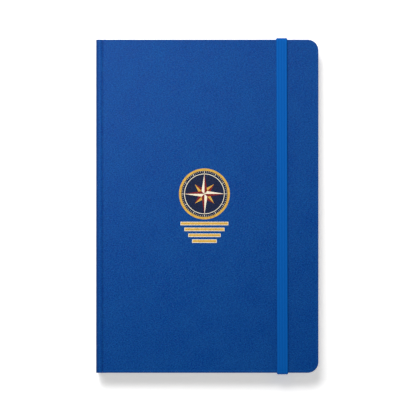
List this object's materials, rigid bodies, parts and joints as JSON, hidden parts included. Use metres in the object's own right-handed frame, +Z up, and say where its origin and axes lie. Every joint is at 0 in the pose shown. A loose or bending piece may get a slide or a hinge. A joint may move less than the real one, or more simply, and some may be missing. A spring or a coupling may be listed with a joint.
{
  "type": "pilot logbook",
  "caption": "Portrait case-bound logbook with a leatherette cover, rounded fore-edge corners, sewn cream pages, an inner pocket and an elastic strap.",
  "frame": {"origin": "middle of the closed book's footprint, on the back cover's outer face", "axes": "+Z up through the front cover, +Y towards the head (top edge), -X towards the spine"},
  "size_m": [0.1442, 0.218, 0.016],
  "materials": {
    "leatherette": "satin",
    "greyboard": "matte",
    "card": "matte",
    "endpaper": "matte",
    "page_paper": "matte",
    "mull": "matte",
    "kraft_paper": "matte",
    "thread": "matte",
    "band_cloth": "matte",
    "pocket_card": "matte",
    "gusset_cloth": "matte",
    "elastic": "satin",
    "print": "matte"
  },
  "bodies": {
    "back_cover": {"back_cover_wrap": "leatherette", "back_board": "greyboard", "back_pastedown": "endpaper", "back_hinge_cloth": "mull", "pocket_gusset_spine": "gusset_cloth", "pocket_gusset_fore": "gusset_cloth"},
    "book_block": {"signature_03": "page_paper", "signature_04": "page_paper", "signature_05": "page_paper", "signature_06": "page_paper", "signature_07": "page_paper", "signature_08": "page_paper", "signature_09": "page_paper", "signature_10": "page_paper", "back_flyleaf": "endpaper", "sewing_thread": "thread", "spine_mull": "mull", "kraft_liner": "kraft_paper", "headband": "band_cloth", "tailband": "band_cloth", "spine_card": "card", "spine_wrap": "leatherette"},
    "front_cover": {"front_cover_wrap": "leatherette", "front_board": "greyboard", "front_pastedown": "endpaper", "front_hinge_cloth": "mull", "cover_emblem": "print"},
    "flyleaf": {"front_flyleaf": "endpaper"},
    "leaves_a": {"signature_01": "page_paper"},
    "leaves_b": {"signature_02": "page_paper"},
    "pocket": {"pocket_panel": "pocket_card"},
    "strap": {"elastic_strap": "elastic"}
  },
  "joints": [
    {"name": "block_lift", "type": "hinge", "parent": "back_cover", "child": "book_block", "pos_m": [-0.0698, 0, 0.00255], "axis": [0, -1, 0], "range_deg": [0, 90], "deforming": ["back_hinge_cloth", "spine_wrap"]},
    {"name": "front_cover_open", "type": "hinge", "parent": "book_block", "child": "front_cover", "pos_m": [-0.0698, 0, 0.01245], "axis": [0, -1, 0], "range_deg": [0, 180], "deforming": ["front_hinge_cloth", "spine_wrap"]},
    {"name": "flyleaf_turn", "type": "hinge", "parent": "book_block", "child": "flyleaf", "pos_m": [-0.0698, 0, 0.01245], "axis": [0, -1, 0], "range_deg": [0, 178]},
    {"name": "leaves_a_turn", "type": "hinge", "parent": "book_block", "child": "leaves_a", "pos_m": [-0.0698, 0, 0.01245], "axis": [0, -1, 0], "range_deg": [0, 172]},
    {"name": "leaves_b_turn", "type": "hinge", "parent": "book_block", "child": "leaves_b", "pos_m": [-0.0698, 0, 0.01245], "axis": [0, -1, 0], "range_deg": [0, 165]},
    {"name": "pocket_open", "type": "hinge", "parent": "back_cover", "child": "pocket", "pos_m": [0, -0.105, 0.00285], "axis": [1, 0, 0], "range_deg": [0, 5.4], "deforming": ["pocket_gusset_spine", "pocket_gusset_fore"]},
    {"name": "strap_release", "type": "slide", "parent": "back_cover", "child": "strap", "axis": [1, 0, 0], "range_m": [0, 0.036], "stiffness_N_per_m": 20, "deforming": ["elastic_strap"]}
  ],
  "couplings": [
    {"joint": "flyleaf_turn", "follows": "front_cover_open", "ratio": 0.985},
    {"joint": "leaves_a_turn", "follows": "front_cover_open", "ratio": 0.945},
    {"joint": "leaves_b_turn", "follows": "front_cover_open", "ratio": 0.9},
    {"joint": "pocket_open", "follows": "block_lift", "ratio": 0.06}
  ]
}
